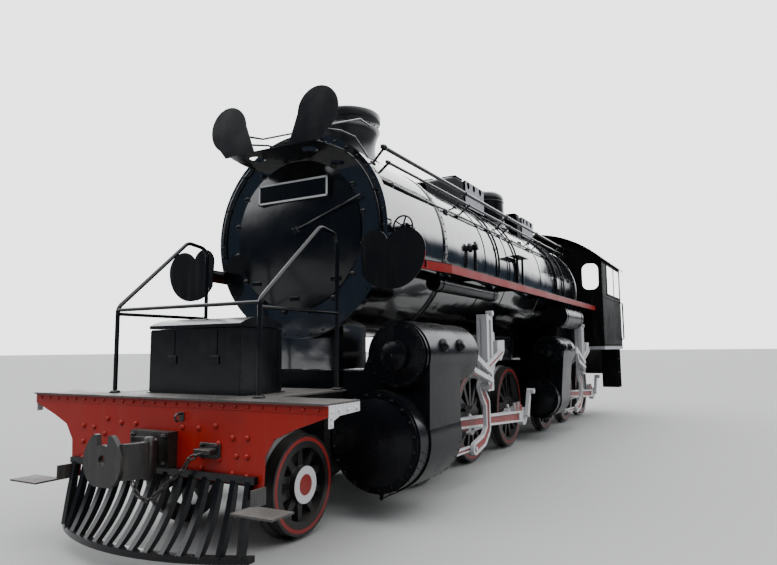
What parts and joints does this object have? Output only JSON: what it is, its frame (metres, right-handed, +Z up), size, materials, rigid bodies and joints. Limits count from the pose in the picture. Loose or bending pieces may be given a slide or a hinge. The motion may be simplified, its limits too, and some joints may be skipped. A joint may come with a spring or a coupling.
{
  "type": "articulated steam locomotive",
  "caption": "Articulated compound steam locomotive with leading truck, two sets of coupled wheels, long boiler, front platform and open-sided cab.",
  "frame": {"origin": "middle of the locomotive's length and width, at the bottoms of the wheel flanges", "axes": "+X towards the front coupler, +Y towards the left side, +Z up"},
  "size_m": [12.3798, 2.868, 3.995],
  "materials": {
    "black_paint": "gloss black enamel, weathered",
    "boiler_black": "gloss black enamel on sheet cladding",
    "red_paint": "orange red enamel, faded",
    "rod_paint": "white edges with red flutes",
    "wheel_paint": "black centres, red tyre faces",
    "cab_paint": "dull weathered black",
    "grey_paint": "light grey enamel",
    "frame_black": "matt black, oily",
    "chequer_plate": "worn black plate"
  },
  "bodies": {
    "rear_unit": {"rear_frame": "frame_black", "drag_beam": "frame_black", "high_pressure_cylinders": "boiler_black", "rear_main_rods": "rod_paint", "rear_valve_gear": "rod_paint", "boiler_barrel": "boiler_black", "firebox": "frame_black", "ashpan": "frame_black", "smokebox": "boiler_black", "smokebox_door": "boiler_black", "chimney": "boiler_black", "smokebox_visor": "black_paint", "blower_valve": "black_paint", "steam_dome": "boiler_black", "sandboxes": "black_paint", "running_boards": "black_paint", "boiler_handrails": "black_paint", "air_reservoirs": "boiler_black", "cab_floor": "grey_paint", "cab_front": "cab_paint", "cab_side_left": "cab_paint", "cab_side_right": "cab_paint", "cab_roof": "cab_paint", "cab_steps": "cab_paint"},
    "front_unit": {"front_frame": "frame_black", "low_pressure_cylinders": "boiler_black", "front_main_rods": "rod_paint", "front_valve_gear": "rod_paint", "buffer_beam": "red_paint", "front_platform": "chequer_plate", "toolbox": "black_paint", "front_handrails": "black_paint", "cowcatcher": "black_paint", "coupler": "frame_black", "front_steps": "chequer_plate", "receiver_pipe": "frame_black"},
    "toolbox_lid": {"toolbox_lid": "black_paint"},
    "pony_truck": {"pony_frame": "frame_black"},
    "pony_axle": {"pony_axle": "wheel_paint"},
    "driver_axle_1": {"driver_axle_1": "wheel_paint"},
    "driver_axle_2": {"driver_axle_2": "wheel_paint"},
    "driver_axle_3": {"driver_axle_3": "wheel_paint"},
    "driver_axle_4": {"driver_axle_4": "wheel_paint"},
    "driver_axle_5": {"driver_axle_5": "wheel_paint"},
    "driver_axle_6": {"driver_axle_6": "wheel_paint"},
    "front_rod_left": {"front_coupling_rod_left": "rod_paint"},
    "front_rod_right": {"front_coupling_rod_right": "rod_paint"},
    "rear_rod_left": {"rear_coupling_rod_left": "rod_paint"},
    "rear_rod_right": {"rear_coupling_rod_right": "rod_paint"}
  },
  "joints": [
    {"name": "front_unit_swing", "type": "hinge", "parent": "rear_unit", "child": "front_unit", "pos_m": [-0.47, 0, 0.66], "axis": [0, 0, 1], "range_deg": [-3.5, 3.5]},
    {"name": "pony_swing", "type": "hinge", "parent": "front_unit", "child": "pony_truck", "pos_m": [3.75, 0, 0.397], "axis": [0, 0, 1], "range_deg": [-3.5, 3.5]},
    {"name": "pony_axle_turn", "type": "hinge", "parent": "pony_truck", "child": "pony_axle", "pos_m": [4.935, 0, 0.397], "axis": [0, 1, 0], "continuous": true},
    {"name": "toolbox_lid_hinge", "type": "hinge", "parent": "front_unit", "child": "toolbox_lid", "pos_m": [4.97, 0, 1.568], "axis": [0, -1, 0], "range_deg": [0, 95]},
    {"name": "driver_axle_1_turn", "type": "hinge", "parent": "front_unit", "child": "driver_axle_1", "pos_m": [2.88, 0, 0.58], "axis": [0, 1, 0], "continuous": true},
    {"name": "driver_axle_2_turn", "type": "hinge", "parent": "front_unit", "child": "driver_axle_2", "pos_m": [1.46, 0, 0.58], "axis": [0, 1, 0], "continuous": true},
    {"name": "driver_axle_3_turn", "type": "hinge", "parent": "front_unit", "child": "driver_axle_3", "pos_m": [0.04, 0, 0.58], "axis": [0, 1, 0], "continuous": true},
    {"name": "front_rod_left_pin", "type": "hinge", "parent": "driver_axle_3", "child": "front_rod_left", "pos_m": [0.32661, 0.701, 0.47568], "axis": [0, 1, 0], "continuous": true},
    {"name": "front_rod_right_pin", "type": "hinge", "parent": "driver_axle_3", "child": "front_rod_right", "pos_m": [0.14432, -0.701, 0.86661], "axis": [0, 1, 0], "continuous": true},
    {"name": "driver_axle_4_turn", "type": "hinge", "parent": "rear_unit", "child": "driver_axle_4", "pos_m": [-1.92, 0, 0.58], "axis": [0, 1, 0], "continuous": true},
    {"name": "driver_axle_5_turn", "type": "hinge", "parent": "rear_unit", "child": "driver_axle_5", "pos_m": [-3.34, 0, 0.58], "axis": [0, 1, 0], "continuous": true},
    {"name": "driver_axle_6_turn", "type": "hinge", "parent": "rear_unit", "child": "driver_axle_6", "pos_m": [-4.76, 0, 0.58], "axis": [0, 1, 0], "continuous": true},
    {"name": "rear_rod_left_pin", "type": "hinge", "parent": "driver_axle_6", "child": "rear_rod_left", "pos_m": [-4.47339, 0.701, 0.47568], "axis": [0, 1, 0], "continuous": true},
    {"name": "rear_rod_right_pin", "type": "hinge", "parent": "driver_axle_6", "child": "rear_rod_right", "pos_m": [-4.65568, -0.701, 0.86661], "axis": [0, 1, 0], "continuous": true}
  ],
  "couplings": [
    {"joint": "driver_axle_1_turn", "follows": "driver_axle_3_turn", "ratio": 1},
    {"joint": "driver_axle_2_turn", "follows": "driver_axle_3_turn", "ratio": 1},
    {"joint": "front_rod_left_pin", "follows": "driver_axle_3_turn", "ratio": -1},
    {"joint": "front_rod_right_pin", "follows": "driver_axle_3_turn", "ratio": -1},
    {"joint": "driver_axle_4_turn", "follows": "driver_axle_6_turn", "ratio": 1},
    {"joint": "driver_axle_5_turn", "follows": "driver_axle_6_turn", "ratio": 1},
    {"joint": "rear_rod_left_pin", "follows": "driver_axle_6_turn", "ratio": -1},
    {"joint": "rear_rod_right_pin", "follows": "driver_axle_6_turn", "ratio": -1}
  ]
}
